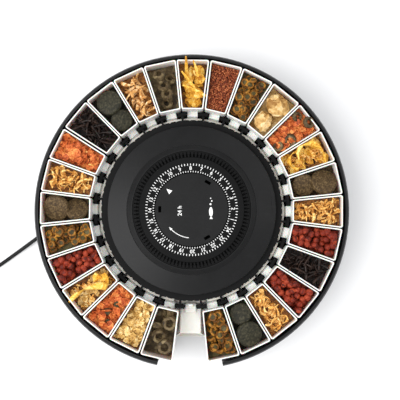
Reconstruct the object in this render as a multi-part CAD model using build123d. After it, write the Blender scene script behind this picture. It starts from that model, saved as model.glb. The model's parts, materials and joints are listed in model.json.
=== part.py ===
"""Automatic fish feeder: a carousel of hinged food cups round a hub with a 24-hour dial.

Millimetres, +Z up. The origin is the centre of the base's underside, and the drop
gap is centred on -Y. The carousel turns clockwise seen from above. Each cup is held
level by a rail over its tail finger, and tips outer end down where the rail stops.
"""

import os
from math import acos, atan2, cos, degrees, pi, radians, sin, sqrt, tan

from build123d import *

# Overall
OUTER_R = 130.0
CUP_COUNT = 28
PITCH = 360.0 / CUP_COUNT
HALF_PITCH = PITCH / 2
GAP_ANGLE = -90.0
GAP_HALF = 12.0
CUP_ANGLES = [GAP_ANGLE + n * PITCH for n in range(CUP_COUNT)]
POST_ANGLES = [angle + HALF_PITCH for angle in CUP_ANGLES]

# Heights, from the table up
FLOOR_TOP = 2.5
WALL_TOP = 59.0
HINGE_Z = 52.0
RIM_Z = 74.0
PAD_R = 112.0
PAD_ANGLES = (-60.0, 0.0, 60.0, 120.0, 180.0, 240.0)
DRUM_TOP = 57.8
RING_BOTTOM = 58.0
RING_TOP = 61.5

# Cups
HINGE_R = 78.8
CUP_INNER_R = 81.4
CUP_OUTER_R = 121.7
CUP_SIDE_GAP = 0.45
CUP_WALL = 1.0
TIPPED = 80.0
# Sideways play of the cups on their pins, counter-clockwise positive
CUP_PLAY = {14: 0.3, 15: 0.2, 16: 0.1, 17: -0.1, 18: -0.3, 19: 0.3, 20: 0.15, 27: 0.3}
KNUCKLE_R = 2.8
KNUCKLE_HALF = 4.2
NECK_IN, NECK_TOP = 77.4, 57.0
PIN_R = 1.2
BORE_R = 1.28
FINGER_TIP_R = 71.5
FINGER_HALF = 1.7
FINGER_THICK = 1.6

# Hinge posts and carousel ring
HEAD_IN, HEAD_OUT = 77.6, 80.4
HEAD_WIDTH = 7.9
HEAD_BOTTOM, HEAD_TOP = 50.6, 62.0
STEM_WIDTH = 1.8
STEM_FOOT_R = 72.0
RING_EDGE_R = 74.0
RING_NOTCH_DEPTH = 0.5
RING_NOTCHES = CUP_COUNT * 3

# Drum and tracks
DRUM_IN, DRUM_OUT = 62.0, 66.0
RAIL_OUT = 75.8
RAIL_STEP_R = 69.0
RAIL_BOTTOM, RAIL_STEP_Z, RAIL_TOP = 53.2, 56.0, 57.4
RAIL_GAP_HALF = 10.5
SHELF_OUT = 76.6
SHELF_BOTTOM, SHELF_TOP = 47.0, 48.6

# Hub
COVER_R = 68.6
COVER_BOTTOM = 62.0
DECK_OUTER_Z, DECK_INNER_Z = 66.9, 70.5
COLLAR_FOOT_R, COLLAR_TOP_R, COLLAR_TOP_Z = 52.0, 48.6, 72.8
WELL_R = 47.9
BOSS_ANGLES = (100.0, 220.0, 340.0)
BOSS_CENTRE_R = 53.0

# Dial
DIAL_IN, DIAL_OUT, DIAL_TOP = 29.9, 47.5, 74.0
TAB_COUNT = 96
TAB_MIDDLE_R = 44.8
FACE_R = 29.4

# Gears
RING_TEETH, RING_MODULE, DRIVE_TEETH = 78, 1.5, 12
DIAL_TEETH, DIAL_MODULE, TIMER_TEETH = 72, 1.0, 12
DRIVE_ANGLE, TIMER_ANGLE = 40.0, 160.0
GEAR_BACKLASH = 0.16
SWITCH_ANGLES = (-100.0, -70.0)

# Supply cord
CORD_D = 3.2
EXIT_POINT = (-129.8, -19.9)
EXIT_HEADING = 217.0
EXIT_Z = 5.0
GLAND_LENGTH = 26.0
LEAD_BEND = (-99.9, 2.6)
LEAD_END_X = -55.0
# Route from the gland to the coil: straight runs joined by tangent arcs
CORD_ROUTE = [
    (-129.8, -19.9, 5.0),
    (-138.6, -26.5, 5.0),
    (-150.4, -35.0, 1.7),
    (-168.5, -48.5, 1.7),
    (-187.5, -61.5, 1.7),
    (-205.0, -69.2, 1.7),
    (-221.0, -70.9, 1.7),
]
COIL_CENTRE = (-221.0, -92.9)
COIL_TURN_RADII = (14.8, 18.4, 22.0)
COIL_LAYERS = 4
COIL_LAYER_RISE = 3.3
PLUG_LENGTH, PLUG_WIDTH, PLUG_THICK = 36.0, 27.0, 13.7
PLUG_PIN_R, PLUG_PIN_LENGTH, PLUG_PIN_SPACING = 2.0, 19.0, 18.6
TAIL_ROUTE = [
    (-243.0, -92.9, 11.6),
    (-243.6, -102.5, 10.6),
    (-243.4, -111.5, 8.2),
    (-242.8, -119.5, 6.8),
]
PLUG_HEADING = -90.0

BASE_ALIGN = (Align.CENTER, Align.CENTER, Align.MIN)


def turned(points, arc=360.0, start=0.0):
    """A solid turned about Z from (radius, height) points, over an arc from a start angle."""
    outline = Polyline(*[(r, 0, z) for r, z in points], close=True)
    return Rot(0, 0, start) * revolve(make_face(outline), Axis.Z, arc)


def annulus(r_in, r_out, z_low, z_high, arc=360.0, start=0.0):
    """A flat-ended ring, or a sector of one."""
    return turned([(r_in, z_low), (r_out, z_low), (r_out, z_high), (r_in, z_high)], arc, start)


def disc(radius, z_low, z_high):
    """A solid round plate or pillar on the Z axis."""
    return Pos(0, 0, z_low) * Cylinder(radius, z_high - z_low, align=BASE_ALIGN)


def block(x_low, x_high, y_low, y_high, z_low, z_high):
    """A box from its lowest and highest corners."""
    size = (x_high - x_low, y_high - y_low, z_high - z_low)
    centre = ((x_high + x_low) / 2, (y_high + y_low) / 2, (z_high + z_low) / 2)
    return Pos(*centre) * Box(*size)


def prism(points, z_low, z_high):
    """A straight-sided solid from a plan outline."""
    outline = make_face(Polyline(*[(x, y) for x, y in points], close=True))
    return Pos(0, 0, z_low) * extrude(outline, z_high - z_low, dir=(0, 0, 1))


def around(shape, angles):
    """Copies of a shape turned about Z to each angle."""
    return [Rot(0, 0, angle) * shape for angle in angles]


def rod(start, end, radius, end_radius=None):
    """A round bar between two points, tapered if an end radius is given."""
    path = Vector(*end) - Vector(*start)
    plane = Plane(origin=start, z_dir=path)
    if end_radius is None:
        return plane * Cylinder(radius, path.length, align=BASE_ALIGN)
    return plane * Cone(radius, end_radius, path.length, align=BASE_ALIGN)


def gear_outline(teeth, module, addendum, dedendum, backlash, turn=0.0):
    """Plan outline of an involute gear, pressure angle 20 degrees, a tooth centred on `turn`."""
    pitch_r = teeth * module / 2
    base_r = pitch_r * cos(radians(20))
    tip_r, root_r = pitch_r + addendum, pitch_r - dedendum
    involute = lambda r: sqrt((r / base_r) ** 2 - 1) - acos(base_r / r)
    half_tooth = pi / teeth / 2 - backlash / 2 / pitch_r + involute(pitch_r)
    flank_start = max(base_r, root_r)
    steps = 4
    flank = []
    for step in range(steps + 1):
        r = flank_start + (tip_r - flank_start) * step / steps
        flank.append((r, half_tooth - involute(r)))
    if root_r < base_r:
        flank.insert(0, (root_r, flank[0][1]))
    points = []
    for tooth in range(teeth):
        centre = 2 * pi * tooth / teeth + radians(turn)
        points += [(r * cos(centre - a), r * sin(centre - a)) for r, a in flank]
        points += [(r * cos(centre + a), r * sin(centre + a)) for r, a in reversed(flank)]
    return points


def polar(radius, angle, z):
    return (radius * cos(radians(angle)), radius * sin(radians(angle)), z)


# ---- Base -----------------------------------------------------------------

def drop_sector(r_in, half_angle):
    return annulus(r_in, OUTER_R + 5, -5, 90, 2 * half_angle, GAP_ANGLE - half_angle)


def gland_axis(from_exit):
    """A point on the gland's axis, a distance back inside from the exit face."""
    heading = radians(EXIT_HEADING)
    x = EXIT_POINT[0] - from_exit * cos(heading)
    y = EXIT_POINT[1] - from_exit * sin(heading)
    return (x, y, EXIT_Z)


def outer_wall():
    profile = [(126.3, FLOOR_TOP), (OUTER_R, FLOOR_TOP), (OUTER_R, 54.0), (129.6, 56.0),
               (128.5, 57.8), (126.9, WALL_TOP), (126.3, WALL_TOP)]
    wall = turned(profile, 360 - 2 * GAP_HALF, GAP_ANGLE + GAP_HALF)
    return wall - rod(gland_axis(-6), gland_axis(GLAND_LENGTH), 2.75)


def base_plate():
    plate = annulus(46.0, OUTER_R, 0, FLOOR_TOP) - drop_sector(76.0, GAP_HALF)
    for angle in PAD_ANGLES:
        plate -= Pos(*polar(PAD_R, angle, -1)) * Cylinder(6.15, 3, align=BASE_ALIGN)
    for angle in BOSS_ANGLES:
        plate -= Pos(*polar(BOSS_CENTRE_R, angle, 0)) * Cylinder(3.2, 1.3, align=BASE_ALIGN)
        plate -= Pos(*polar(BOSS_CENTRE_R, angle, 0)) * Cylinder(1.7, 5, align=BASE_ALIGN)
    return plate + cord_duct()


def rubber_pads():
    pad = Pos(PAD_R, 0, 0) * Cylinder(6.0, 2.0, align=BASE_ALIGN)
    return Compound(children=around(pad, PAD_ANGLES))


def cover_screws():
    head = Pos(BOSS_CENTRE_R, 0, 0.1) * Cylinder(2.9, 1.2, align=BASE_ALIGN)
    slot = block(BOSS_CENTRE_R - 2.2, BOSS_CENTRE_R + 2.2, -0.35, 0.35, 0, 0.7)
    shank = Pos(BOSS_CENTRE_R, 0, 1.3) * Cylinder(1.45, 14, align=BASE_ALIGN)
    return Compound(children=around(head + shank - slot, BOSS_ANGLES))


def bottom_cover():
    plate = disc(45.7, 0, FLOOR_TOP)
    for row in range(-3, 4):
        plate -= block(-14, 14, row * 5 - 1, row * 5 + 1, -1, FLOOR_TOP + 1)
    return plate


def inner_drum():
    drum = annulus(DRUM_IN, DRUM_OUT, FLOOR_TOP, DRUM_TOP)
    return drum - rod((-70, LEAD_BEND[1], EXIT_Z), (-58, LEAD_BEND[1], EXIT_Z), 1.9)


def track_shelf():
    return annulus(DRUM_OUT, SHELF_OUT, SHELF_BOTTOM, SHELF_TOP)


def cam_rail():
    """The rail over the cups' fingers, open at the drop gap; its step clears the ring's lip."""
    profile = [(DRUM_OUT, RAIL_BOTTOM), (RAIL_OUT, RAIL_BOTTOM), (RAIL_OUT, RAIL_TOP),
               (RAIL_STEP_R, RAIL_TOP), (RAIL_STEP_R, RAIL_STEP_Z), (DRUM_OUT, RAIL_STEP_Z)]
    rail = turned(profile, 360 - 2 * RAIL_GAP_HALF, GAP_ANGLE + RAIL_GAP_HALF)
    for side in (-1, 1):
        end = Rot(0, 0, GAP_ANGLE + side * RAIL_GAP_HALF) * Pos(70, 0, RAIL_BOTTOM)
        rail -= end * Rot(45, 0, 0) * Box(12, 2.6, 2.6)
    return rail


def cord_duct():
    """The covered channel on the floor that the lead runs through, from the drum to the wall."""
    y = LEAD_BEND[1]
    start = gland_axis(3.4)
    inner = gland_axis(GLAND_LENGTH + 11.9)
    straight = block(-103, -DRUM_OUT - 0.2, y - 3.6, y + 3.6, FLOOR_TOP, 7.8)
    heading = Pos(*LEAD_BEND, FLOOR_TOP) * Rot(0, 0, EXIT_HEADING)
    oblique = heading * Pos(15.0, 0, 0) * Box(32, 9.4, 5.3, align=BASE_ALIGN)
    duct = (straight + oblique) & disc(126.0, 0, 20)
    duct -= rod(inner, start, 3.2)
    duct -= rod((LEAD_BEND[0] - 4, y, EXIT_Z), (-60, y, EXIT_Z), 1.9)
    return duct


def cord_gland():
    return rod(gland_axis(GLAND_LENGTH), gland_axis(0), 2.45, 2.0)


def inner_lead():
    start = gland_axis(GLAND_LENGTH)
    path = FilletPolyline(start, (*LEAD_BEND, EXIT_Z), (LEAD_END_X, LEAD_BEND[1], EXIT_Z),
                          radius=12)
    return sweep(Plane(origin=start, z_dir=path % 0) * Circle(CORD_D / 2), path=path)


def cord_clamp():
    y = LEAD_BEND[1]
    bridge = block(-61.4, -57.4, y - 6, y + 6, FLOOR_TOP, 9.5)
    return bridge - rod((-63, y, EXIT_Z), (-56, y, EXIT_Z), CORD_D / 2)


def terminal_block():
    y = LEAD_BEND[1]
    body = block(LEAD_END_X, -46, y - 8, y + 8, FLOOR_TOP, 13)
    for row in (-5, 0, 5):
        body -= Pos(-50.5, y + row, 11) * Cylinder(1.6, 4, align=BASE_ALIGN)
    return body


# ---- Carousel -------------------------------------------------------------

def carousel_ring():
    teeth = RING_NOTCHES
    edge = []
    for tooth in range(teeth):
        for step, r in ((-0.36, RING_EDGE_R), (0.24, RING_EDGE_R),
                        (0.34, RING_EDGE_R - RING_NOTCH_DEPTH), (0.54, RING_EDGE_R - RING_NOTCH_DEPTH)):
            angle = radians(360.0 / teeth * (tooth + step))
            edge.append((r * cos(angle), r * sin(angle)))
    ring = prism(edge, RING_BOTTOM, RING_TOP)
    bore = gear_outline(RING_TEETH, RING_MODULE, 1.8, 0.9, -GEAR_BACKLASH)
    ring -= prism(bore, RING_BOTTOM - 1, RING_TOP + 1)
    ring += annulus(66.4, 68.4, 56.4, RING_BOTTOM)
    stem_slot = block(STEM_FOOT_R, RING_EDGE_R + 2, -STEM_WIDTH / 2, STEM_WIDTH / 2,
                      RING_BOTTOM - 0.5, RING_TOP + 1)
    return ring - around(stem_slot, POST_ANGLES)


def hinge_post():
    """One post at angle 0: a foot in the ring, a T-shaped head, and a pin for each cup beside it."""
    head = block(HEAD_IN, HEAD_OUT, -HEAD_WIDTH / 2, HEAD_WIDTH / 2, HEAD_BOTTOM, HEAD_TOP)
    head = fillet(head.edges().filter_by(Axis.Z), 0.5)
    head = chamfer(head.faces().sort_by(Axis.Z)[-1].edges(), 0.35)
    stem = block(STEM_FOOT_R, HEAD_IN + 0.5, -STEM_WIDTH / 2, STEM_WIDTH / 2,
                 RING_BOTTOM, RING_TOP)
    post = head + stem
    for side in (-1, 1):
        near, far = 2.3 * side, 6.4 * side
        pin = rod((HINGE_R, near, HINGE_Z), (HINGE_R, far, HINGE_Z), PIN_R)
        post += Rot(0, 0, -side * HALF_PITCH) * pin
    return post


def cup():
    """One cup at angle 0, standing level: X outward, Y along the hinge axis."""
    slope = tan(radians(HALF_PITCH))

    def plan(r_in, r_out, inset, corner):
        half_in, half_out = r_in * slope - inset, r_out * slope - inset
        points = [(r_in, -half_in), (r_out, -half_out), (r_out, half_out), (r_in, half_in)]
        face = make_face(Polyline(*points, close=True))
        return fillet(face.vertices(), corner)

    lean = cos(radians(HALF_PITCH))
    outside = plan(CUP_INNER_R, CUP_OUTER_R, CUP_SIDE_GAP / lean, 1.6)
    inside = plan(CUP_INNER_R + CUP_WALL, CUP_OUTER_R - CUP_WALL,
                  (CUP_SIDE_GAP + CUP_WALL) / lean, 1.0)
    body = Pos(0, 0, HINGE_Z) * extrude(outside, RIM_Z - HINGE_Z, dir=(0, 0, 1))
    body = fillet(body.faces().sort_by(Axis.Z)[0].edges(), 0.9)
    hollow = Pos(0, 0, HINGE_Z + CUP_WALL) * extrude(inside, RIM_Z, dir=(0, 0, 1))
    hollow = fillet(hollow.faces().sort_by(Axis.Z)[0].edges(), 0.8)
    body -= hollow
    body = fillet(body.faces().sort_by(Axis.Z)[-1].edges(), 0.4)
    knuckle = rod((HINGE_R, -KNUCKLE_HALF, HINGE_Z), (HINGE_R, KNUCKLE_HALF, HINGE_Z), KNUCKLE_R)
    neck = block(NECK_IN, CUP_INNER_R + 0.8, -KNUCKLE_HALF, KNUCKLE_HALF, HINGE_Z - 0.6, NECK_TOP)
    finger = block(FINGER_TIP_R, HINGE_R, -FINGER_HALF, FINGER_HALF,
                   HINGE_Z - FINGER_THICK / 2, HINGE_Z + FINGER_THICK / 2)
    bore = rod((HINGE_R, -KNUCKLE_HALF - 1, HINGE_Z), (HINGE_R, KNUCKLE_HALF + 1, HINGE_Z), BORE_R)
    return body + knuckle + neck + finger - bore


def placed_cups():
    """Every cup at its own place, the first one tipped into the drop gap."""
    pattern = cup()
    hinge = Pos(HINGE_R, 0, HINGE_Z)
    tipped = hinge * Rot(0, TIPPED, 0) * hinge.inverse() * pattern
    for n, angle in enumerate(CUP_ANGLES):
        shape = tipped if n == 0 else pattern
        yield f"cup_{n:02d}", Rot(0, 0, angle) * Pos(0, CUP_PLAY.get(n, 0.0), 0) * shape


# ---- Hub and dial ---------------------------------------------------------

def hub_cover():
    fall = (DECK_INNER_Z - DECK_OUTER_Z) / (COVER_R - 0.5 - COLLAR_FOOT_R - 0.6)
    profile = [(COVER_R - 1.8, COVER_BOTTOM), (COVER_R, COVER_BOTTOM), (COVER_R, DECK_OUTER_Z - 0.5),
               (COVER_R - 0.5, DECK_OUTER_Z), (COLLAR_FOOT_R + 0.6, DECK_INNER_Z),
               (COLLAR_FOOT_R + 0.6, DECK_INNER_Z - 0.6), (COLLAR_FOOT_R, DECK_INNER_Z - 0.6),
               (COLLAR_FOOT_R, DECK_INNER_Z + 0.1), (COLLAR_TOP_R, COLLAR_TOP_Z),
               (WELL_R, COLLAR_TOP_Z), (WELL_R, 67.2), (34.0, 67.2), (34.0, 65.6),
               (WELL_R + 2.1, 65.6), (WELL_R + 2.1, 68.9), (COVER_R - 1.8, 65.5)]
    cover = turned(profile)
    boss = Pos(BOSS_CENTRE_R, 0, FLOOR_TOP) * Cylinder(3.2, 65.9, align=BASE_ALIGN)
    boss -= Pos(BOSS_CENTRE_R, 0, 0) * Cylinder(1.45, 16, align=BASE_ALIGN)
    for angle in BOSS_ANGLES:
        cover += Rot(0, 0, angle) * boss
    panel_r = 59.3
    panel_z = DECK_OUTER_Z + fall * (COVER_R - 0.5 - panel_r)
    tilt = degrees(atan2(DECK_INNER_Z - DECK_OUTER_Z, COVER_R - COLLAR_FOOT_R))
    recess = Rot(0, 0, 5.3) * Pos(panel_r, 0, panel_z) * Rot(0, tilt, 0)
    return cover - recess * Pos(0, 0, -0.35) * Box(12, 30, 6, align=BASE_ALIGN)


def dial_ring():
    profile = [(DIAL_IN, DIAL_TOP - 0.3), (DIAL_IN + 0.3, DIAL_TOP), (42.1, DIAL_TOP),
               (42.4, DIAL_TOP - 0.3), (42.4, 70.5), (46.7, 70.5), (46.7, 73.2), (DIAL_OUT, 73.2),
               (DIAL_OUT, 67.6), (32.8, 67.6), (32.8, 63.0), (DIAL_IN + 0.3, 63.0),
               (DIAL_IN + 0.3, 66.0), (DIAL_IN, 66.0)]
    return turned(profile)


def switch_tabs():
    """The small tabs round the dial: a broad outer end and a narrow inner rib on each."""
    width = 2 * pi * TAB_MIDDLE_R / TAB_COUNT
    tab = block(TAB_MIDDLE_R, 46.6, -0.38 * width, 0.38 * width, 70.5, 73.3)
    foot = block(42.5, TAB_MIDDLE_R, -0.2 * width, 0.2 * width, 70.5, 73.9)
    pitch = 360.0 / TAB_COUNT
    return Compound(children=around(tab + foot, [n * pitch for n in range(TAB_COUNT)]))


def dial_gear():
    outline = gear_outline(DIAL_TEETH, DIAL_MODULE, 0.9, 1.2, GEAR_BACKLASH)
    return prism(outline, 60.0, 63.0) - disc(DIAL_IN + 0.3, 50, 70)


def face_plate():
    plate = disc(FACE_R, 71.4, 73.2)
    slot = block(24.4, 26.8, -2.5, 2.5, 70, 80)
    return plate - around(slot, (60, 180, 300))


def central_column():
    column = annulus(20.0, 24.0, FLOOR_TOP, 71.4)
    return column + annulus(23.5, 30.0, 38.0, 40.0)


def chassis_plate():
    """A round plate on the column's flange, with an upright bracket for each microswitch."""
    upright = block(39.9, 41.5, -8, 8, 41, 63)
    return annulus(24.3, 48.5, 40.0, 42.0) + around(upright, SWITCH_ANGLES)


def timer_motor():
    body = Pos(42, 0, 42) * Cylinder(6.5, 14, align=BASE_ALIGN)
    shaft = Pos(42, 0, 56) * Cylinder(1.5, 8, align=BASE_ALIGN)
    return Rot(0, 0, TIMER_ANGLE) * (body + shaft)


def carousel_motor():
    centre_r = (RING_TEETH - DRIVE_TEETH) * RING_MODULE / 2
    body = block(30, 56, -10, 10, 42, 55)
    shaft = Pos(centre_r, 0, 55) * Cylinder(1.5, 6.5, align=BASE_ALIGN)
    return Rot(0, 0, DRIVE_ANGLE) * (body + shaft)


def carousel_pinion():
    """Its teeth stand in the spaces of the carousel ring's inner teeth."""
    centre_r = (RING_TEETH - DRIVE_TEETH) * RING_MODULE / 2
    ring_pitch = 360.0 / RING_TEETH
    phase = (DRIVE_ANGLE / ring_pitch) % 1.0
    turn = -phase * ring_pitch * RING_TEETH / DRIVE_TEETH
    outline = gear_outline(DRIVE_TEETH, RING_MODULE, 1.4, 1.6, GEAR_BACKLASH, turn)
    pinion = prism(outline, RING_BOTTOM, RING_TOP) - disc(1.55, 50, 70)
    return Rot(0, 0, DRIVE_ANGLE) * Pos(centre_r, 0, 0) * pinion


def timer_pinion():
    centre_r = (DIAL_TEETH + TIMER_TEETH) * DIAL_MODULE / 2
    dial_pitch = 360.0 / DIAL_TEETH
    phase = (TIMER_ANGLE / dial_pitch) % 1.0
    turn = 180.0 + 180.0 / TIMER_TEETH + phase * dial_pitch * DIAL_TEETH / TIMER_TEETH
    outline = gear_outline(TIMER_TEETH, DIAL_MODULE, 0.9, 1.1, GEAR_BACKLASH, turn)
    pinion = prism(outline, 60.0, 63.0) - disc(1.55, 50, 70)
    return Rot(0, 0, TIMER_ANGLE) * Pos(centre_r, 0, 0) * pinion


def microswitches():
    body = block(41.5, 47.5, -8, 8, 54, 63)
    return Compound(children=around(body, SWITCH_ANGLES))


# ---- Supply cord ----------------------------------------------------------

def cord_tube(route, name):
    """A tube along straight runs with tangent arcs, each as large as its two runs allow."""
    points = [Vector(*p) for p in route]
    radii = []
    for before, here, after in zip(points, points[1:], points[2:]):
        turn = radians((here - before).get_angle(after - here))
        run = min((here - before).length, (after - here).length)
        radii.append(0.45 * run / tan(turn / 2))
    path = FilletPolyline(*points, radius=radii)
    tube = sweep(Plane(origin=points[0], z_dir=path % 0) * Circle(CORD_D / 2), path=path)
    print(name, "arc radii", [round(r, 1) for r in radii], "length", round(path.length, 1),
          "volume / (section x length)",
          round(tube.volume / (pi * CORD_D ** 2 / 4 * path.length), 4))
    return tube


def cord_coil():
    inner = COIL_TURN_RADII[0] - CORD_D / 2
    outer = COIL_TURN_RADII[-1] + CORD_D / 2
    top = (COIL_LAYERS - 1) * COIL_LAYER_RISE + CORD_D
    ring = annulus(inner, outer, 0, top)
    ring = fillet(ring.edges(), 1.2)
    return Pos(*COIL_CENTRE, 0) * ring


def cord_tie():
    inner = COIL_TURN_RADII[0] - CORD_D / 2
    outer = COIL_TURN_RADII[-1] + CORD_D / 2
    top = (COIL_LAYERS - 1) * COIL_LAYER_RISE + CORD_D
    band = block(inner - 1.2, outer + 1.2, -2, 2, 0, top + 1.2)
    band -= block(inner, outer, -3, 3, -1, top)
    return Pos(*COIL_CENTRE, 0) * Rot(0, 0, 160) * band


def plug_frame():
    return Pos(TAIL_ROUTE[-1][0], TAIL_ROUTE[-1][1], 0) * Rot(0, 0, PLUG_HEADING)


def plug_body():
    relief = rod((0, 0, 6.8), (9.0, 0, 6.8), 2.0, 3.4)
    body = block(8, PLUG_LENGTH, -PLUG_WIDTH / 2, PLUG_WIDTH / 2, 0, PLUG_THICK)
    body = fillet(body.edges().filter_by(Axis.Z), 5.0)
    body = chamfer(body.edges().filter_by(GeomType.LINE).group_by(Axis.Z)[-1], 1.0)
    return plug_frame() * (body + relief)


def plug_pins():
    pins = []
    for side in (-1, 1):
        y = side * PLUG_PIN_SPACING / 2
        pins.append(rod((PLUG_LENGTH, y, 6.8), (PLUG_LENGTH + PLUG_PIN_LENGTH, y, 6.8), PLUG_PIN_R))
    return plug_frame() * Compound(children=pins)


NODES = {
    "outer_wall": outer_wall,
    "base_plate": base_plate,
    "bottom_cover": bottom_cover,
    "rubber_pads": rubber_pads,
    "cover_screws": cover_screws,
    "inner_drum": inner_drum,
    "track_shelf": track_shelf,
    "cam_rail": cam_rail,
    "cord_gland": cord_gland,
    "inner_lead": inner_lead,
    "cord_clamp": cord_clamp,
    "terminal_block": terminal_block,
    "carousel_ring": carousel_ring,
    "hinge_posts": lambda: Compound(children=around(hinge_post(), POST_ANGLES)),
    "hub_cover": hub_cover,
    "dial_ring": dial_ring,
    "switch_tabs": switch_tabs,
    "dial_gear": dial_gear,
    "face_plate": face_plate,
    "central_column": central_column,
    "chassis_plate": chassis_plate,
    "timer_motor": timer_motor,
    "carousel_motor": carousel_motor,
    "carousel_pinion": carousel_pinion,
    "timer_pinion": timer_pinion,
    "microswitches": microswitches,
    "mains_cord": lambda: cord_tube(CORD_ROUTE, "mains_cord"),
    "cord_tail": lambda: cord_tube(TAIL_ROUTE, "cord_tail"),
    "cord_coil": cord_coil,
    "cord_tie": cord_tie,
}

os.makedirs("parts", exist_ok=True)
for name, make in NODES.items():
    export_step(make(), f"parts/{name}.step")
for name, shape in (("plug_body", plug_body()), ("plug_pins", plug_pins())):
    export_step(shape, f"parts/{name}.step")
for name, shape in placed_cups():
    export_step(shape, f"parts/{name}.step")
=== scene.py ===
"""Automatic fish feeder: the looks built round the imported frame, from the cord to the food."""

import json
import math
import random

import bpy
from mathutils import Matrix, Vector


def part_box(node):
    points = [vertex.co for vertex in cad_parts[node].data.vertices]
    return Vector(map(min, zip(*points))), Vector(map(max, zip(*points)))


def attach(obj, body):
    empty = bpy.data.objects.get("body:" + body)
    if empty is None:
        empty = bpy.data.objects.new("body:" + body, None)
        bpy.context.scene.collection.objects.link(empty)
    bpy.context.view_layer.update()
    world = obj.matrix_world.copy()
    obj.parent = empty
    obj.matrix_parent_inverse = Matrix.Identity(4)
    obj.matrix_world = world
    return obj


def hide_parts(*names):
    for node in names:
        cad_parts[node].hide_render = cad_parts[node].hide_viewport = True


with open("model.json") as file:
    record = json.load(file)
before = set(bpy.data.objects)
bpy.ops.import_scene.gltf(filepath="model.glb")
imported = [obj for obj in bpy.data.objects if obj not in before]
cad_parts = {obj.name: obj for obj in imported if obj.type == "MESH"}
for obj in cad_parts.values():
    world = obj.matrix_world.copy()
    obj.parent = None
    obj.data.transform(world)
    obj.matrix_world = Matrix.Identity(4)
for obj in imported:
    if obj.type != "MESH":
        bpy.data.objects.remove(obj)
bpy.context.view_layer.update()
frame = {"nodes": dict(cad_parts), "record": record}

# ---- Camera, light and table ------------------------------------------------
# The feeder stands on a plain white table under a large soft light on its left, and is
# seen from almost straight above, with the view tipped a few degrees.

MM = 0.001
camera_data = bpy.data.cameras.new("camera")
camera_data.lens = 81.3
camera_data.sensor_width = 36.0
camera_data.shift_x = -0.0055
camera_data.shift_y = -0.0316
camera = bpy.data.objects.new("camera", camera_data)
bpy.context.collection.objects.link(camera)
camera.location = (0.0088, -0.0200, 0.800)
camera.rotation_euler = (math.radians(3.0), 0, math.radians(0.65))
bpy.context.scene.camera = camera
bpy.context.scene.view_settings.view_transform = "Standard"


def soft_light(name, place, size, energy, aim=(0, 0, 0.05)):
    """A square soft box that faces a point on the object."""
    data = bpy.data.lights.new(name, "AREA")
    data.size = size
    data.energy = energy
    lamp = bpy.data.objects.new(name, data)
    lamp.location = place
    lamp.rotation_euler = (Vector(aim) - Vector(place)).to_track_quat("-Z", "Y").to_euler()
    bpy.context.collection.objects.link(lamp)


soft_light("window_light", (-0.72, -0.25, 1.12), 1.1, 16.0)
soft_light("fill_light", (0.9, 0.4, 1.3), 1.4, 5.0)
world = bpy.data.worlds.new("studio")
world.use_nodes = True
world.node_tree.nodes["Background"].inputs["Color"].default_value = (0.97, 0.98, 1.0, 1)
world.node_tree.nodes["Background"].inputs["Strength"].default_value = 0.88
bpy.context.scene.world = world


class Wire:
    """A shader socket that Python arithmetic turns into Math nodes."""

    def __init__(self, finish, socket):
        self.finish = finish
        self.socket = socket

    def maths(self, operation, *values):
        node = self.finish.tree.nodes.new("ShaderNodeMath")
        node.operation = operation
        for place, value in enumerate(values):
            self.finish.feed(node.inputs[place], value)
        return Wire(self.finish, node.outputs[0])

    def __add__(self, other):
        return self.maths("ADD", self, other)

    def __mul__(self, other):
        return self.maths("MULTIPLY", self, other)

    def __sub__(self, other):
        return self.maths("SUBTRACT", self, other)

    __radd__ = __add__
    __rmul__ = __mul__


class Finish:
    """One procedural material on Object coordinates."""

    def __init__(self, name, **constants):
        self.material = bpy.data.materials.new(name)
        self.material.use_nodes = True
        self.tree = self.material.node_tree
        self.shader = self.tree.nodes["Principled BSDF"]
        for socket, value in constants.items():
            self.shader.inputs[socket.replace("_", " ")].default_value = value
        self.place = self.node("ShaderNodeTexCoord", output="Object")

    def feed(self, socket, value):
        if isinstance(value, Wire):
            self.tree.links.new(value.socket, socket)
        else:
            socket.default_value = value

    def node(self, kind, settings=None, sockets=None, output=0):
        node = self.tree.nodes.new(kind)
        for key, value in (settings or {}).items():
            if key == "stops":
                ramp = node.color_ramp
                while len(ramp.elements) < len(value):
                    ramp.elements.new(0.5)
                for element, (position, colour) in zip(ramp.elements, value):
                    element.position = position
                    element.color = (*colour, 1)
            else:
                setattr(node, key, value)
        for key, value in (sockets or {}).items():
            self.feed(node.inputs[key], value)
        return Wire(self, node.outputs[output])

    def noise(self, scale, detail=4.0, rough=0.55, vector=None):
        sockets = {"Vector": vector or self.place, "Scale": scale, "Detail": detail,
                   "Roughness": rough}
        return self.node("ShaderNodeTexNoise", sockets=sockets)

    def stretched(self, factors):
        return self.node("ShaderNodeMapping", sockets={"Vector": self.place, "Scale": factors})

    def ramp(self, value, *stops):
        return self.node("ShaderNodeValToRGB", {"stops": stops}, {"Fac": value})

    def colour(self, wire):
        self.feed(self.shader.inputs["Base Color"], wire)

    def roughness(self, wire):
        self.feed(self.shader.inputs["Roughness"], wire)

    def bump(self, height, distance, strength=1.0):
        sockets = {"Height": height, "Distance": distance, "Strength": strength}
        self.feed(self.shader.inputs["Normal"], self.node("ShaderNodeBump", sockets=sockets))


def grey(value):
    return (value, value, value * 1.03)


table_finish = Finish("table_white", Roughness=0.6)
paper = table_finish.noise(9.0, 2.0)
table_finish.colour(table_finish.ramp(paper, (0.3, (0.90, 0.90, 0.90)), (0.7, (0.93, 0.93, 0.93))))
bpy.ops.object.select_all(action="DESELECT")
bpy.ops.mesh.primitive_plane_add(size=6.0)
table = bpy.context.object
table.name = "table"
table.data.materials.append(table_finish.material)

# ---- Supply cord ------------------------------------------------------------
# A two-core black PVC flex. It leaves a tapered gland low in the wall, lies on the table,
# and its spare length is wound in a neat coil with a tie, next to its two-pin plug.

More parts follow.
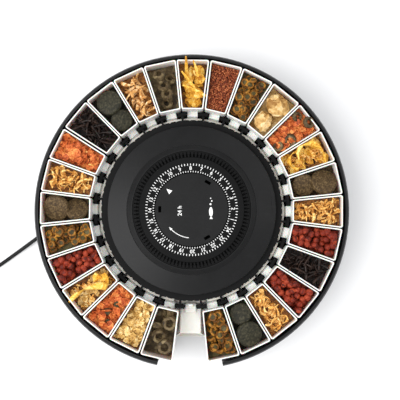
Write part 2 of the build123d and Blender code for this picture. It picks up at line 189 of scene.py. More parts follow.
CORD_DIAMETER = 3.2 * MM
COIL_CENTRE = (-221.0, -92.9)
COIL_TURN_RADII = (22.0, 18.4, 14.8)
COIL_LAYERS = 4
COIL_LAYER_RISE = 3.3
COIL_POINTS = 14
cord_points = [
    (-129.8, -19.9, 5.0),
    (-138.6, -26.5, 5.0),
    (-150.4, -35.0, 1.7),
    (-168.5, -48.5, 1.7),
    (-187.5, -61.5, 1.7),
    (-205.0, -69.2, 1.7),
]
turn_steps = COIL_POINTS * len(COIL_TURN_RADII)
for layer in range(COIL_LAYERS):
    radii = COIL_TURN_RADII if layer % 2 == 0 else COIL_TURN_RADII[::-1]
    for step in range(turn_steps):
        turn, part = divmod(step, COIL_POINTS)
        radius = radii[turn]
        if part >= COIL_POINTS - 3 and turn + 1 < len(radii):
            radius += (radii[turn + 1] - radius) * (part - COIL_POINTS + 4) / 4
        angle = math.radians(90 + 360 * step / COIL_POINTS)
        rise = max(0.0, (step - turn_steps + 4) / 4) if layer + 1 < COIL_LAYERS else 0.0
        cord_points.append((COIL_CENTRE[0] + radius * math.cos(angle),
                            COIL_CENTRE[1] + radius * math.sin(angle),
                            1.7 + COIL_LAYER_RISE * (layer + rise)))
for part in range(4):
    angle = math.radians(90 + 90 * part / 3.5)
    cord_points.append((COIL_CENTRE[0] + 22.0 * math.cos(angle),
                        COIL_CENTRE[1] + 22.0 * math.sin(angle), 1.7 + 3 * COIL_LAYER_RISE))
cord_points += [(-243.0, -92.9, 11.6), (-243.6, -102.5, 10.6), (-243.4, -111.5, 8.2),
                (-242.8, -119.5, 6.8)]

cord_curve = bpy.data.curves.new("supply_cord", "CURVE")
cord_curve.dimensions = "3D"
cord_curve.bevel_depth = CORD_DIAMETER / 2
cord_curve.bevel_resolution = 4
cord_curve.resolution_u = 6
spline = cord_curve.splines.new("NURBS")
spline.points.add(len(cord_points) - 1)
for point, (x, y, z) in zip(spline.points, cord_points):
    point.co = (x * MM, y * MM, z * MM, 1)
spline.order_u = 3
spline.use_endpoint_u = True
cord = bpy.data.objects.new("supply_cord", cord_curve)
bpy.context.collection.objects.link(cord)


flex = Finish("flex_sheath", Roughness=0.42, Specular_IOR_Level=0.2)
dust = flex.noise(300.0)
flex.colour(flex.ramp(dust, (0.35, grey(0.004)), (0.75, grey(0.010))))
flex.roughness(dust * 0.2 + 0.36)
flex.bump(flex.noise(1400.0), 0.00008, 0.5)
cord_curve.materials.append(flex.material)
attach(cord, "base")
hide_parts("mains_cord", "cord_coil", "cord_tail")

# ---- Moulded plastics -------------------------------------------------------
# Black ABS for the wall, hub and dial, each with its own sheen, faint scuffs and the fine
# spark-eroded grain of the mould. Warm white polypropylene, slightly translucent, for cups.


def moulded(name, dark, light, rough, grain=0.6, scuffs=0.25, **constants):
    """Black moulded plastic: cloudy sheen, hairline scuffs and a fine grain."""
    finish = Finish(name, **constants)
    cloud = finish.noise(38.0, 6.0, 0.6)
    speckle = finish.noise(900.0, 2.0)
    scratch = finish.noise(55.0, 3.0, vector=finish.stretched((1.0, 9.0, 1.0)))
    scratch_mask = (scratch - 0.62) * 6.0 * scuffs
    shade = cloud * 0.7 + speckle * 0.3 + finish.node(
        "ShaderNodeClamp", sockets={"Value": scratch_mask})
    finish.colour(finish.ramp(shade, (0.3, grey(dark)), (0.72, grey(light))))
    finish.roughness(cloud * 0.16 + speckle * 0.10 + (rough - 0.13))
    finish.bump(finish.noise(1900.0, 2.0) * 0.7 + cloud * 0.3, 0.00006, grain)
    return finish.material


cup_finish = Finish("cup_polypropylene", Roughness=0.38, Subsurface_Weight=0.22,
                    Subsurface_Scale=0.004, Specular_IOR_Level=0.4)
haze = cup_finish.noise(60.0, 5.0)
cup_finish.colour(cup_finish.ramp(haze, (0.3, (0.80, 0.775, 0.725)), (0.7, (0.88, 0.862, 0.82))))
cup_finish.roughness(haze * 0.15 + 0.32)
cup_finish.bump(cup_finish.noise(700.0), 0.00006, 0.4)

track_finish = Finish("track_polypropylene", Roughness=0.45, Subsurface_Weight=0.1,
                      Subsurface_Scale=0.003)
cast = track_finish.noise(45.0, 5.0)
track_finish.colour(track_finish.ramp(cast, (0.3, (0.66, 0.62, 0.54)), (0.7, (0.78, 0.74, 0.67))))
track_finish.bump(track_finish.noise(700.0), 0.00006, 0.4)

metal_finish = Finish("plated_steel", Metallic=1.0, Roughness=0.35)
brushed = metal_finish.noise(120.0, 4.0, vector=metal_finish.stretched((1.0, 1.0, 30.0)))
metal_finish.colour(metal_finish.ramp(brushed, (0.3, (0.5, 0.5, 0.51)), (0.7, (0.68, 0.68, 0.69))))
metal_finish.roughness(brushed * 0.25 + 0.22)

acetal_finish = Finish("gear_acetal", Roughness=0.4)
wax = acetal_finish.noise(200.0)
acetal_finish.colour(acetal_finish.ramp(wax, (0.3, (0.74, 0.74, 0.71)), (0.7, (0.85, 0.85, 0.82))))

pin_finish = Finish("nickel_pins", Metallic=1.0, Roughness=0.25)
plating = pin_finish.noise(260.0)
pin_finish.colour(pin_finish.ramp(plating, (0.3, (0.62, 0.58, 0.48)), (0.7, (0.76, 0.73, 0.64))))

SLOT_FINISHES = {
    "wall_black": moulded("wall_abs", 0.004, 0.010, 0.34, 0.35, 0.2, Specular_IOR_Level=0.25),
    "base_black": moulded("base_abs", 0.008, 0.016, 0.5, Specular_IOR_Level=0.3),
    "hub_black": moulded("hub_abs", 0.003, 0.008, 0.40, 0.7, 0.3, Specular_IOR_Level=0.2),
    "dial_black": moulded("dial_abs", 0.0025, 0.006, 0.46, 0.6, 0.3, Specular_IOR_Level=0.09),
    "carousel_black": moulded("carousel_acetal", 0.002, 0.005, 0.5, 0.4, 0.2,
                              Specular_IOR_Level=0.12),
    "switch_black": moulded("switch_nylon", 0.006, 0.012, 0.4, Specular_IOR_Level=0.3),
    "plug_black": moulded("plug_pvc", 0.010, 0.024, 0.45),
    "pad_rubber": moulded("pad_rubber", 0.012, 0.03, 0.75),
    "cup_white": cup_finish.material,
    "track_white": track_finish.material,
    "terminal_white": acetal_finish.material,
    "gear_white": acetal_finish.material,
    "screw_steel": metal_finish.material,
    "motor_steel": metal_finish.material,
    "pin_brass": pin_finish.material,
    "cord_black": flex.material,
}
slot_of_node = {part["node"]: part["material_slot"] for part in frame["record"]["subparts"]}
for node_name, node in frame["nodes"].items():
    for material_slot in node.material_slots:
        material_slot.material = SLOT_FINISHES[slot_of_node[node_name]]

# ---- Printed scale ----------------------------------------------------------
# White pad-printed marks on the dial: numbers for the hours, quarter-hour ticks inside
# and outside them. Each mark is a thin raised film on the dial's flat top.

DIAL_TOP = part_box("dial_ring")[1][2]
FACE_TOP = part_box("face_plate")[1][2]
PRINT_THICKNESS = 0.05 * MM

ink = Finish("print_white", Roughness=0.5)
wear = ink.noise(420.0, 3.0)
ink.colour(ink.ramp(wear, (0.25, (0.62, 0.62, 0.60)), (0.5, (0.86, 0.86, 0.84))))


def settle(piece):
    """Puts a piece's place into its mesh and turns its faces outwards."""
    bpy.ops.object.select_all(action="DESELECT")
    piece.select_set(True)
    bpy.context.view_layer.objects.active = piece
    bpy.ops.object.transform_apply(location=True, rotation=True, scale=True)
    bpy.ops.object.mode_set(mode="EDIT")
    bpy.ops.mesh.select_all(action="SELECT")
    bpy.ops.mesh.remove_doubles(threshold=1e-7)
    bpy.ops.mesh.normals_make_consistent(inside=False)
    bpy.ops.object.mode_set(mode="OBJECT")


def joined(pieces, name, material):
    """One object made of several, with its place in its mesh."""
    bpy.ops.object.select_all(action="DESELECT")
    for piece in pieces:
        piece.select_set(True)
    bpy.context.view_layer.objects.active = pieces[0]
    if len(pieces) > 1:
        bpy.ops.object.join()
    whole = bpy.context.object
    whole.name = name
    whole.data.materials.clear()
    whole.data.materials.append(material)
    settle(whole)
    return whole


def copied(piece, matrix):
    """A copy of a piece with its own mesh, placed by a matrix."""
    copy = piece.copy()
    copy.data = piece.data.copy()
    copy.matrix_world = matrix
    bpy.context.collection.objects.link(copy)
    return copy


def bar_mark(name, length, width, z):
    """A flat printed bar along X, one film thick."""
    bpy.ops.object.select_all(action="DESELECT")
    bpy.ops.mesh.primitive_plane_add(size=1.0)
    mark = bpy.context.object
    mark.name = name
    mark.scale = (length, width, 1)
    mark.location = (0, 0, z)
    bpy.ops.object.transform_apply(location=True, rotation=True, scale=True)
    bpy.ops.object.mode_set(mode="EDIT")
    bpy.ops.mesh.select_all(action="SELECT")
    bpy.ops.mesh.extrude_region_move(TRANSFORM_OT_translate={"value": (0, 0, PRINT_THICKNESS)})
    bpy.ops.object.mode_set(mode="OBJECT")
    return mark


def tick_ring(name, r_in, r_out, width, count):
    mark = bar_mark(name, (r_out - r_in) * MM, width * MM, DIAL_TOP - PRINT_THICKNESS / 2)
    middle = Matrix.Translation(((r_in + r_out) / 2 * MM, 0, 0))
    ticks = [copied(mark, Matrix.Rotation(2 * math.pi * n / count + math.radians(DIAL_TURN), 4, "Z")
                    @ middle) for n in range(count)]
    bpy.data.objects.remove(mark)
    return ticks


DIAL_TURN = 2.0
TICKS = 96
marks = tick_ring("outer_tick", 35.6, 37.2, 0.55, TICKS)
marks += tick_ring("inner_tick", 30.2, 31.3, 0.5, TICKS)
scale_print = joined(marks, "dial_scale_print", ink.material)
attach(scale_print, "dial")


def lettering(body, size, matrix):
    """A word or number as a flat printed mesh, centred on its place."""
    bpy.ops.object.select_all(action="DESELECT")
    bpy.ops.object.text_add()
    word = bpy.context.object
    word.data.body = body
    word.data.size = size
    word.data.extrude = PRINT_THICKNESS / 2
    word.data.offset = size * 0.012
    word.data.align_x = "CENTER"
    word.data.align_y = "CENTER"
    word.data.resolution_u = 4
    bpy.ops.object.convert(target="MESH")
    word = bpy.context.object
    word.matrix_world = matrix @ Matrix.Translation((0, 0, PRINT_THICKNESS / 2))
    return word


NUMBER_R = 33.4
NUMBER_SIZE = 4.1
numbers = []
for hour in range(1, 25):
    angle = math.radians((hour - 2) * 15 + DIAL_TURN)
    place = Matrix.Rotation(angle, 4, "Z") @ Matrix.Translation(
        (NUMBER_R * MM, 0, DIAL_TOP - PRINT_THICKNESS / 2))
    upright = Matrix.Rotation(-math.pi / 2, 4, "Z")
    numbers.append(lettering(str(hour), NUMBER_SIZE * MM, place @ upright))
number_print = joined(numbers, "dial_numbers_print", ink.material)
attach(number_print, "dial")

# ---- Marks on the fixed face ------------------------------------------------
# The face inside the dial is fixed. It carries a white pointer that shows the hour, a curved
# arrow for the direction of turn, and plain marks: the dial's range and a fish.


def flat_shape(name, vertices, size, matrix):
    """A filled regular outline, one film thick."""
    bpy.ops.object.select_all(action="DESELECT")
    bpy.ops.mesh.primitive_circle_add(vertices=vertices, radius=1.0, fill_type="NGON")
    shape = bpy.context.object
    shape.name = name
    shape.scale = (size[0], size[1], 1)
    bpy.ops.object.transform_apply(location=False, rotation=False, scale=True)
    bpy.ops.object.mode_set(mode="EDIT")
    bpy.ops.mesh.select_all(action="SELECT")
    bpy.ops.mesh.extrude_region_move(TRANSFORM_OT_translate={"value": (0, 0, PRINT_THICKNESS)})
    bpy.ops.object.mode_set(mode="OBJECT")
    shape.matrix_world = matrix
    return shape


def on_face(x, y, turn):
    spot = Matrix.Translation((x * MM, y * MM, FACE_TOP - PRINT_THICKNESS / 2))
    return spot @ Matrix.Rotation(math.radians(turn), 4, "Z")


def arrow_arc(radius, width, start, stop):
    """A curved printed line, spun from a short radial edge."""
    bpy.ops.object.select_all(action="DESELECT")
    bpy.ops.mesh.primitive_plane_add(size=1.0)
    arc = bpy.context.object
    bpy.ops.object.mode_set(mode="EDIT")
    bpy.ops.mesh.select_all(action="SELECT")
    bpy.ops.mesh.merge(type="CENTER")
    bpy.ops.transform.translate(value=(radius - width / 2, 0, 0))
    bpy.ops.mesh.extrude_region_move(TRANSFORM_OT_translate={"value": (width, 0, 0)})
    bpy.ops.mesh.select_all(action="SELECT")
    bpy.ops.mesh.spin(steps=16, angle=math.radians(start - stop), center=(0, 0, 0), axis=(0, 0, 1))
    bpy.ops.mesh.select_all(action="SELECT")
    bpy.ops.mesh.extrude_region_move(TRANSFORM_OT_translate={"value": (0, 0, PRINT_THICKNESS)})
    bpy.ops.object.mode_set(mode="OBJECT")
    arc.matrix_world = on_face(0, 0, start)
    return arc


def round_face(radius, angle, turn):
    """A place on the face by its radius and angle, with a shape's own turn there."""
    x, y = radius * math.cos(math.radians(angle)), radius * math.sin(math.radians(angle))
    return on_face(x, y, turn)


POINTER_R, POINTER_ANGLE = 23.3, 141.0
ARROW_R, ARROW_START, ARROW_STOP, ARROW_HEAD_ANGLE = 22.7, -95.0, -135.0, -137.0
face_marks = [
    flat_shape("pointer", 3, (2.2 * MM, 3.0 * MM),
               round_face(POINTER_R, POINTER_ANGLE, POINTER_ANGLE - 90)),
    arrow_arc(ARROW_R * MM, 0.55 * MM, ARROW_START, ARROW_STOP),
    flat_shape("arrow_head", 3, (1.2 * MM, 1.8 * MM),
               round_face(ARROW_R, ARROW_HEAD_ANGLE, ARROW_HEAD_ANGLE + 180)),
    lettering("24 h", 4.6 * MM, on_face(-9.4, -1.0, 92.0)),
    flat_shape("fish_body", 24, (3.9 * MM, 1.5 * MM), on_face(15.6, -1.6, 92.0)),
    flat_shape("fish_tail", 3, (1.5 * MM, 1.8 * MM), on_face(15.8, -6.4, 2.0)),
    flat_shape("bubble_a", 12, (0.8 * MM, 0.8 * MM), on_face(15.2, 4.6, 0.0)),
    flat_shape("bubble_b", 12, (0.6 * MM, 0.6 * MM), on_face(16.2, 7.2, 0.0)),
    flat_shape("bubble_c", 12, (0.5 * MM, 0.5 * MM), on_face(15.3, 9.4, 0.0)),
]
face_print = joined(face_marks, "face_print", ink.material)
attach(face_print, "base")

# ---- Dry food ---------------------------------------------------------------
# What the cups carry: pellets, rings, wafers, sticks, flakes and dried shrimps. Each piece is
# shaped once and copied; a cup's heap is dropped piece by piece onto what already lies there.

CUP_COUNT = 28
CUP_SLOPE = math.tan(math.pi / CUP_COUNT)
CUP_WALL_INSET = 1.9
HEAP_IN, HEAP_OUT = 82.8, 120.2
CUP_FLOOR = 53.0
CUP_PLAY = {14: 0.3, 15: 0.2, 16: 0.1, 17: -0.1, 18: -0.3, 19: 0.3, 20: 0.15, 27: 0.3}


def food_finish(name, dark, middle, light, cell=4.0, rough=0.6, rugged=0.35, grain=700.0):
    """Dry food: its colour changes from piece to piece and over each piece."""
    finish = Finish(name, Roughness=rough, Specular_IOR_Level=0.25)
    pieces = finish.node("ShaderNodeTexVoronoi", sockets={
        "Vector": finish.place, "Scale": 1000.0 / cell}, output="Color")
    mottle = finish.noise(grain, 5.0, 0.65)
    blend = pieces * 0.5 + mottle * 1.0 - 0.25
    finish.colour(finish.ramp(blend, (0.25, dark), (0.5, middle), (0.78, light)))
    finish.roughness(mottle * 0.3 + (rough - 0.15))
    finish.bump(mottle, 0.0004, rugged)
    return finish.material


RED_PELLET = food_finish("pellet_red", (0.05, 0.006, 0.003), (0.19, 0.016, 0.005),
                         (0.40, 0.06, 0.02))
RED_GRANULE = food_finish("granule_red", (0.06, 0.012, 0.005), (0.26, 0.05, 0.016),
                          (0.62, 0.22, 0.08),
                          cell=1.3)
ORANGE_RING = food_finish("ring_orange", (0.06, 0.022, 0.003), (0.17, 0.062, 0.006),
                          (0.46, 0.21, 0.025))
GREEN_CORE = food_finish("core_green", (0.025, 0.020, 0.006), (0.06, 0.046, 0.012),
                         (0.13, 0.10, 0.035))
DARK_WAFER = food_finish("wafer_green", (0.010, 0.010, 0.005), (0.024, 0.022, 0.011),
                         (0.062, 0.055, 0.032), cell=1.2, grain=500.0)
BROWN_WAFER = food_finish("wafer_brown", (0.03, 0.017, 0.006), (0.072, 0.042, 0.015),
                          (0.16, 0.105, 0.045), cell=1.0, grain=500.0)
GOLD_SHRIMP = food_finish("shrimp_gold", (0.24, 0.06, 0.006), (0.82, 0.40, 0.08), (1.0, 0.80, 0.34),
                          cell=3.0)
# Bed under gold heaps: the food beneath, coloured much darker than the gold pieces as painted shade
# showing in the gaps between them.
GOLD_BED_PAINTED_SHADE = food_finish("bed_gold_painted_shade", (0.05, 0.014, 0.003), (0.20, 0.07, 0.012),
                       (0.45, 0.2, 0.04), cell=2.0)
DARK_STICK = food_finish("stick_brown", (0.004, 0.002, 0.001), (0.012, 0.005, 0.003),
                         (0.045, 0.022, 0.014), rough=0.5)
RED_FLAKE = food_finish("flake_red", (0.20, 0.026, 0.006), (0.58, 0.125, 0.028), (0.86, 0.36, 0.10))
CREAM_CHUNK = food_finish("chunk_cream", (0.3, 0.14, 0.03), (0.64, 0.40, 0.14), (0.88, 0.70, 0.40),
                          cell=7.0, grain=260.0)
OLIVE_RING = food_finish("ring_olive", (0.028, 0.018, 0.008), (0.095, 0.062, 0.027),
                         (0.24, 0.18, 0.09),
                         grain=380.0)
YELLOW_FLAKE = food_finish("flake_yellow", (0.38, 0.13, 0.008), (0.84, 0.46, 0.05),
                           (0.98, 0.80, 0.28))
CREAM_FLAKE = food_finish("flake_cream", (0.22, 0.095, 0.018), (0.66, 0.40, 0.11),
                          (0.93, 0.76, 0.40),
                          cell=3.0)
PINK_SHRIMP = food_finish("shrimp_pink", (0.26, 0.085, 0.016), (0.80, 0.42, 0.13),
                          (0.98, 0.80, 0.48),
                          cell=3.0)
LEAF_FLAKE = food_finish("flake_green", (0.025, 0.022, 0.01), (0.08, 0.065, 0.03),
                         (0.18, 0.15, 0.07))


def in_edit_mode(*actions):
    """Runs edit-mode steps on everything in the active mesh."""
    bpy.ops.object.mode_set(mode="EDIT")
    bpy.ops.mesh.select_all(action="SELECT")
    for action in actions:
        action()
    bpy.ops.object.mode_set(mode="OBJECT")


def fresh(add, name, material, **sizes):
    """A new primitive, alone in the selection."""
    bpy.ops.object.select_all(action="DESELECT")
    add(**sizes)
    piece = bpy.context.object
    piece.name = name
    piece.data.materials.append(material)
    return piece


def lump(name, material, size, roughen, detail=2, seed=1):
    """A pellet, granule or chunk: a ball stretched to its size and knocked out of true."""
    piece = fresh(bpy.ops.mesh.primitive_ico_sphere_add, name, material,
                  subdivisions=detail, radius=0.5)
    piece.scale = [side * MM for side in size]
    bpy.ops.object.transform_apply(location=False, rotation=False, scale=True)
    in_edit_mode(lambda: bpy.ops.transform.vertex_random(offset=roughen * MM, seed=seed))
    return piece


def ring(name, material, outer, tube, squash=1.0, core=None):
    """A ring-shaped piece, with a darker plug in its hole where it has one."""
    piece = fresh(bpy.ops.mesh.primitive_torus_add, name, material,
                  major_segments=18, minor_segments=6,
                  major_radius=(outer - tube) / 2 * MM, minor_radius=tube / 2 * MM)
    piece.scale = (1, 1, squash)
    bpy.ops.object.transform_apply(location=False, rotation=False, scale=True)
    in_edit_mode(lambda: bpy.ops.transform.vertex_random(offset=tube * 0.06 * MM, seed=3))
    if core:
        plug = fresh(bpy.ops.mesh.primitive_cylinder_add, name + "_core", core, vertices=10,
                     radius=(outer / 2 - tube * 0.7) * MM, depth=tube * squash * 0.45 * MM)
        piece.select_set(True)
        bpy.context.view_layer.objects.active = piece
        bpy.ops.object.join()
    return piece


def wafer(name, material, diameter, thick):
    """A pressed round tablet with bevelled edges."""
    piece = fresh(bpy.ops.mesh.primitive_cylinder_add, name, material, vertices=40,
                  radius=diameter / 2 * MM, depth=thick * MM)
    in_edit_mode(lambda: bpy.ops.mesh.bevel(offset=thick * 0.24 * MM, segments=3))
    return piece


def grown(name, material, girth, steps, sides=6):
    """A body grown ring by ring: each step is a length, a bend in degrees and a girth factor."""
    piece = fresh(bpy.ops.mesh.primitive_circle_add, name, material, vertices=sides,
                  radius=girth / 2 * MM, fill_type="NGON", rotation=(0, math.pi / 2, 0))
    bpy.ops.object.transform_apply(location=False, rotation=True, scale=False)
    bpy.ops.object.mode_set(mode="EDIT")
    bpy.ops.mesh.select_all(action="SELECT")
    spot, heading = Vector((0, 0, 0)), 0.0
    for length, bend, factor in steps:
        heading += math.radians(bend)
        step = Vector((math.cos(heading), math.sin(heading), 0)) * length * MM
        bpy.ops.mesh.extrude_region_move(TRANSFORM_OT_translate={"value": step})
        spot += step
        bpy.ops.transform.rotate(value=math.radians(bend), orient_axis="Z", center_override=spot)
        bpy.ops.transform.resize(value=(factor, factor, factor), center_override=spot)
    bpy.ops.object.mode_set(mode="OBJECT")
    middle = sum((vertex.co for vertex in piece.data.vertices), Vector()) / len(piece.data.vertices)
    piece.data.transform(Matrix.Translation(-middle))
    return piece


def flake(name, material, size, thick, seed, corners=7):
    """A thin curled chip with a ragged outline."""
    piece = fresh(bpy.ops.mesh.primitive_circle_add, name, material, vertices=corners,
                  radius=size / 2 * MM, fill_type="TRIFAN")
    in_edit_mode(lambda: bpy.ops.transform.vertex_random(offset=size * 0.22 * MM, seed=seed),
                 lambda: bpy.ops.mesh.extrude_region_move(
                     TRANSFORM_OT_translate={"value": (0, 0, thick * MM)}))
    return piece


def shrimp(name, material, length, girth, curl):
    """A curled dried shrimp, thick in the middle and thin at the tail."""
    step = length / 7
    return grown(name, material, girth * 0.5,
                 [(step, curl, 1.5), (step, curl, 1.2), (step, curl, 1.0), (step, curl * 1.2, 0.85),
                  (step, curl * 1.4, 0.7), (step, curl * 1.4, 0.6), (step, curl, 0.4)])


def stick(name, material, length, girth, bend):
    """A cut extruded stick."""
    return grown(name, material, girth, [(length / 3, bend, 1.0)] * 3)


class Heap:
    """A growing heap in one cup, in the cup's own directions: u outward, v along its hinge."""

    CELL = 0.8

    def __init__(self, cup, level, bed_material, seed):
        self.cup = cup
        self.draw = random.Random(seed)
        self.angle = -math.pi / 2 + 2 * math.pi * cup / CUP_COUNT
        self.pieces = []
        cells_u = int((HEAP_OUT - HEAP_IN) / self.CELL) + 1
        self.us = [HEAP_IN + self.CELL * n for n in range(cells_u)]
        self.vs = [self.CELL * n for n in range(-15, 16)]
        self.heights = {(u, v): level for u in self.us for v in self.vs}
        self.bed(level, bed_material)

    def half_width(self, u):
        return u * CUP_SLOPE - CUP_WALL_INSET

    def bed(self, level, material):
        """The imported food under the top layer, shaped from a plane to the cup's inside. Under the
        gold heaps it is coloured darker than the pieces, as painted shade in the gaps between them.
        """
        piece = fresh(bpy.ops.mesh.primitive_plane_add, "bed", material, size=1.0)
        middle = (HEAP_IN + HEAP_OUT) / 2
        piece.scale = ((HEAP_OUT - HEAP_IN) * MM, 2 * self.half_width(HEAP_IN) * MM, 1)
        piece.location = (middle * MM, 0, (CUP_FLOOR + 0.3) * MM)
        bpy.ops.object.transform_apply(location=True, rotation=False, scale=True)
        for vertex in piece.data.vertices:
            if vertex.co.x > middle * MM:
                vertex.co.y *= self.half_width(HEAP_OUT) / self.half_width(HEAP_IN)
        rise = (level - CUP_FLOOR - 0.3) * MM
        in_edit_mode(lambda: bpy.ops.mesh.extrude_region_move(
            TRANSFORM_OT_translate={"value": (0, 0, rise)}))
        piece.matrix_world = self.world()
        self.pieces.append(piece)

    def world(self):
        turn = Matrix.Rotation(self.angle, 4, "Z")
        return turn @ Matrix.Translation((0, CUP_PLAY.get(self.cup, 0.0) * MM, 0))

    def put(self, template, u, v, z, turn=0.0, lean=(0.0, 0.0), size=1.0):
        """One piece at a given place; angles in degrees."""
        place = Matrix.Translation((u * MM, v * MM, z * MM))
        spin = Matrix.Rotation(math.radians(turn), 4, "Z")
        tilt = (Matrix.Rotation(math.radians(lean[0]), 4, "X")
                @ Matrix.Rotation(math.radians(lean[1]), 4, "Y"))
        matrix = self.world() @ place @ tilt @ spin @ Matrix.Scale(size, 4)
        self.pieces.append(copied(template, matrix))

    def drop(self, templates, count, reach, thick, lean=18.0, ceiling=73.5, tries=5):
        """Drops pieces, each at the lowest of a few places, on what lies there."""
        for _ in range(count):
            best = None
            for _ in range(tries):
                u = self.draw.uniform(HEAP_IN + reach, HEAP_OUT - reach)
                side = max(self.half_width(u) - reach, 0.1)
                v = self.draw.uniform(-side, side)
                under = [c for c in self.heights
                         if (c[0] - u) ** 2 + (c[1] - v) ** 2 < (reach * 0.8) ** 2]
                level = max(self.heights[c] for c in under)
                if best is None or level < best[0]:
                    best = (level, u, v, under)
            level, u, v, under = best
            if level + thick / 2 > ceiling:
                continue
            for cell in under:
                self.heights[cell] = level + thick * 0.75
            self.put(self.draw.choice(templates), u, v, level + thick / 2,
                     self.draw.uniform(0, 360),
                     (self.draw.gauss(0, lean), self.draw.gauss(0, lean)),
                     self.draw.uniform(0.86, 1.12))

    def finish(self):
        whole = self.pieces[0]
        bpy.ops.object.select_all(action="DESELECT")
        for piece in self.pieces:
            piece.select_set(True)
        bpy.context.view_layer.objects.active = whole
        bpy.ops.object.join()
        whole.name = f"food_in_cup_{self.cup:02d}"
        bpy.ops.object.transform_apply(location=True, rotation=True, scale=True)
        bpy.ops.object.mode_set(mode="EDIT")
        bpy.ops.mesh.select_all(action="SELECT")
        bpy.ops.mesh.normals_make_consistent(inside=False)
        bpy.ops.object.mode_set(mode="OBJECT")
        bpy.ops.object.shade_smooth_by_angle(angle=math.radians(50))
        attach(whole, f"cup_{self.cup:02d}")


pellets = [lump("pellet", RED_PELLET, (5.8, 5.4, 5.0), 0.35, seed=n) for n in range(3)]
granules = [lump("granule", RED_GRANULE, (1.7, 1.5, 1.3), 0.25, detail=1, seed=n) for n in range(3)]
cored_rings = [ring("cored_ring", ORANGE_RING, size, 1.9, 1.1, GREEN_CORE) for size in (6.6, 7.4)]
olive_rings = [ring("olive_ring", OLIVE_RING, 12.6, 3.9, 1.4)]
small_olive_rings = [ring("small_olive_ring", OLIVE_RING, 10.2, 3.3, 1.3)]
green_wafer = wafer("green_wafer", DARK_WAFER, 20.5, 5.2)
brown_wafer = wafer("brown_wafer", BROWN_WAFER, 20.5, 5.0)
gold_shrimps = [shrimp("gold_shrimp", GOLD_SHRIMP, 15, 3.0, curl) for curl in (12, 22, 30)]
gold_bits = [stick("gold_bit", GOLD_SHRIMP, 5.0, 1.5, 8),
             flake("gold_scale", GOLD_SHRIMP, 4.2, 0.5, 2)]
pink_shrimps = [shrimp("pink_shrimp", PINK_SHRIMP, 15, 4.2, curl) for curl in (8, 16)]
big_curl = shrimp("big_curl", YELLOW_FLAKE, 50, 7.2, 31)
brown_sticks = [stick("brown_stick", DARK_STICK, 11, 1.9, bend) for bend in (4, 14, 24)]
red_flakes = [flake("red_flake", RED_FLAKE, size, 0.6, n) for n, size in enumerate((6.0, 7.5, 5.0))]
pink_flakes = [flake("leaf_flake", LEAF_FLAKE, 5.5, 0.6, 8)]
yellow_flakes = [flake("yellow_flake", YELLOW_FLAKE, size, 0.8, n)
                 for n, size in enumerate((8.0, 10.0))]
cream_flakes = [flake("cream_flake", CREAM_FLAKE, size, 0.6, n)
                for n, size in enumerate((5.5, 7.0, 4.2))]
cream_chunks = [lump("cream_chunk", CREAM_CHUNK, (17, 14, 9), 1.6, detail=3, seed=4)]
banana = grown("banana", YELLOW_FLAKE, 4.2,
               [(4, 10, 1.5), (5, 14, 1.15), (5, 14, 1.0), (5, 14, 0.9), (5, 14, 0.8),
                (4, 10, 0.4)], sides=8)
chip_strip = grown("chip_strip", YELLOW_FLAKE, 2.6, [(7, 2, 1.1), (8, 4, 0.9), (7, 3, 0.5)],
                   sides=5)

for cup in (3, 20):
    heap = Heap(cup, 64.0, GOLD_BED_PAINTED_SHADE, seed=cup)
    heap.drop(gold_bits, 40, 2.2, 1.4)
    heap.drop(gold_shrimps, 22, 5.0, 2.0, lean=22)
    heap.finish()
heap = Heap(7, 64.0, GOLD_BED_PAINTED_SHADE, seed=7)
heap.drop(gold_bits, 40, 2.2, 1.4)
heap.drop(gold_shrimps, 26, 4.6, 2.0, lean=25)
heap.finish()
heap = Heap(16, 60.0, GOLD_BED_PAINTED_SHADE, seed=16)
heap.drop(pink_shrimps, 30, 5.0, 2.8, lean=28)
heap.finish()
for cup in (4, 6, 23):
    heap = Heap(cup, 62.5, RED_PELLET, seed=cup)
    heap.drop(pellets, 80, 2.4, 5.0, ceiling=73.0)
    heap.finish()
for cup in (1, 12, 22):
    heap = Heap(cup, 64.0, GREEN_CORE, seed=cup)
    heap.drop(cored_rings, 52, 3.0, 2.2, lean=26)
    heap.finish()
for cup in (2, 17):
    heap = Heap(cup, 58.0, DARK_WAFER, seed=cup)
    heap.put(green_wafer, 93.0, 0.3, 65.5, lean=(4, -6), size=0.86)
    heap.put(green_wafer, 110.0, -0.4, 68.5, lean=(-5, 12), size=1.0)
    heap.finish()
for cup in (8, 21):
    heap = Heap(cup, 58.0, BROWN_WAFER, seed=cup)
    heap.put(brown_wafer, 93.5, 0.6, 66.0, lean=(24, -8), size=0.9)
    heap.put(brown_wafer, 109.5, -0.6, 68.0, lean=(-28, 12), size=1.05)
    heap.finish()
for cup in (5, 18):
    heap = Heap(cup, 62.0, DARK_STICK, seed=cup)
    heap.drop(brown_sticks, 90, 3.6, 1.9, lean=16)
    heap.finish()
heap = Heap(9, 60.0, GOLD_BED_PAINTED_SHADE, seed=9)
heap.drop(yellow_flakes + gold_bits, 44, 3.0, 1.4)
heap.drop(gold_shrimps, 8, 5.0, 2.0)
heap.put(big_curl, 106, 0.5, 73.0, turn=40, lean=(6, -4))
heap.put(big_curl, 93, 0.0, 69.0, turn=150, lean=(-6, 8), size=0.62)
heap.finish()
for cup, extra in ((10, small_olive_rings), (19, gold_bits), (25, pink_flakes)):
    heap = Heap(cup, 64.0, RED_FLAKE, seed=cup)
    heap.drop(red_flakes, 90, 2.6, 0.9, lean=24)
    heap.drop(extra, 3, 4.0, 1.5)
    heap.drop(red_flakes, 30, 2.6, 0.9, lean=34)
    if cup == 10:
        heap.put(olive_rings[0], 118.0, -2.5, 73.5, lean=(12, 28), size=0.8)
    heap.finish()
heap = Heap(11, 60.0, CREAM_CHUNK, seed=11)
heap.put(cream_chunks[0], 93.0, 0.6, 67.0, turn=20, lean=(10, 8), size=1.0)
heap.put(cream_chunks[0], 110.0, -0.4, 69.5, turn=75, lean=(-8, 12), size=1.22)
heap.finish()
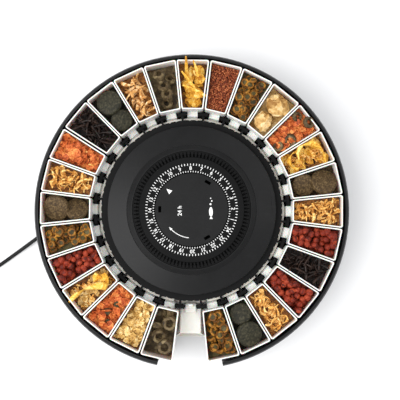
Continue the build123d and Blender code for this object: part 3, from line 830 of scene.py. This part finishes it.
heap = Heap(13, 66.5, RED_GRANULE, seed=13)
heap.drop(granules, 760, 0.9, 1.0, tries=3)
heap.finish()
heap = Heap(14, 59.0, GOLD_BED_PAINTED_SHADE, seed=14)
heap.drop(yellow_flakes, 26, 4.0, 1.6, lean=26)
for u, v, turn, lift in ((112, -3.5, 10, -38), (116, 5.5, -6, -48), (104, 2.5, 30, -20),
                         (97, -2, 60, -12)):
    heap.put(chip_strip, u, v, 71.0, turn=turn, lean=(0, lift))
heap.finish()
heap = Heap(15, 57.0, OLIVE_RING, seed=15)
for n, (u, v, z) in enumerate(((90, 1.5, 60.5), (97, -0.5, 66.0), (104, 1.0, 68.0),
                               (113, 2.5, 70.5), (109, -5.5, 62.0))):
    heap.put(small_olive_rings[0], u, v, z, lean=(8 * (-1) ** n, 12 + 5 * n))
heap.finish()
heap = Heap(24, 61.0, GOLD_BED_PAINTED_SHADE, seed=24)
heap.drop(cream_flakes + gold_bits, 60, 2.5, 1.0, lean=24)
heap.put(banana, 106, 0.0, 73.0, turn=-60, lean=(4, 4), size=1.25)
heap.put(yellow_flakes[1], 90, 1.5, 70.5, turn=20, lean=(20, 30), size=1.1)
heap.put(yellow_flakes[0], 93, -3.5, 70.5, turn=80, lean=(-30, 10), size=1.1)
heap.finish()
heap = Heap(26, 63.0, GOLD_BED_PAINTED_SHADE, seed=26)
heap.drop(cream_flakes, 130, 2.4, 0.9, lean=24)
heap.finish()
heap = Heap(27, 55.5, OLIVE_RING, seed=27)
for u, v, z, lean in ((112, 4.6, 69.5, (6, 8)), (105, -2.2, 65.0, (-12, 16)),
                      (93, 4.0, 66.5, (4, 6)), (87, 0.5, 61.5, (58, 0)),
                      (98, -6.0, 61.0, (0, 80))):
    heap.put(olive_rings[0], u, v, z, lean=lean)
heap.finish()

for template in (pellets + granules + cored_rings + olive_rings + small_olive_rings + gold_shrimps
                 + gold_bits + pink_shrimps + brown_sticks + red_flakes + pink_flakes
                 + yellow_flakes + cream_flakes + cream_chunks
                 + [green_wafer, brown_wafer, big_curl, banana, chip_strip]):
    bpy.data.objects.remove(template)
